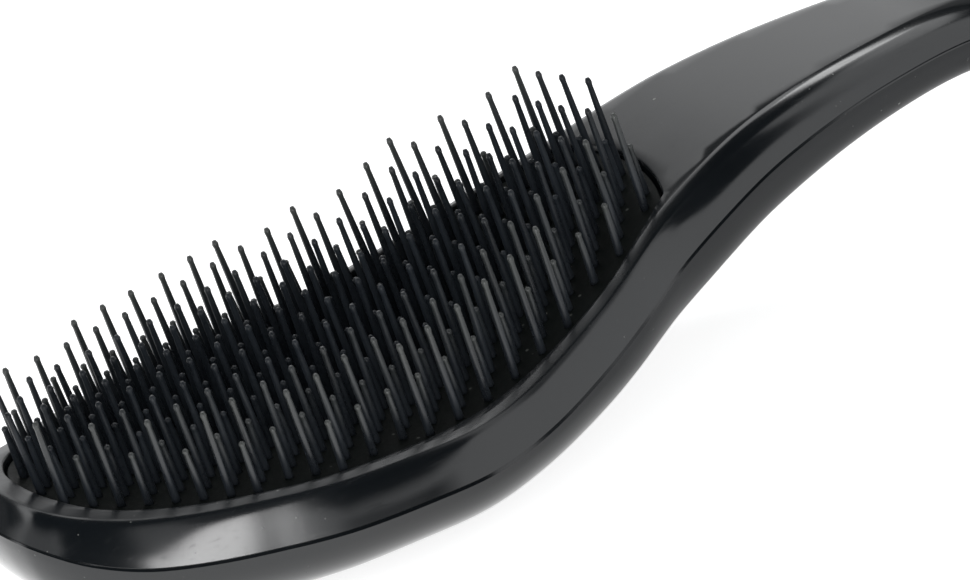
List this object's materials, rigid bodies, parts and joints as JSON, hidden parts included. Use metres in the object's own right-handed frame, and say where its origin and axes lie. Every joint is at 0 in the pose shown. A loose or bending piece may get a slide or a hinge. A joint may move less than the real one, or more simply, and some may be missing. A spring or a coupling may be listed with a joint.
{
  "type": "detangling brush",
  "caption": "Paddle-shaped detangling hair brush with a hollow S-curved body, an open-rimmed face and a flexible pad of long and short teeth.",
  "frame": {"origin": "middle of the brush's length and width, on the surface that its back rests on", "axes": "+X from the tip to the end of the handle, +Z out of the face along the teeth, +Y to the left of the brush seen from above with the handle pointing away"},
  "size_m": [0.22, 0.0682, 0.0432],
  "materials": {
    "back_shell": "polished black moulding",
    "front_frame": "polished black moulding",
    "pad_carrier": "unpolished inner moulding",
    "tooth_pad": "semi-gloss flexible moulding"
  },
  "bodies": {
    "root": {"back_shell": "back_shell", "front_frame": "front_frame", "pad_carrier": "pad_carrier", "tooth_pad": "tooth_pad"}
  },
  "joints": []
}
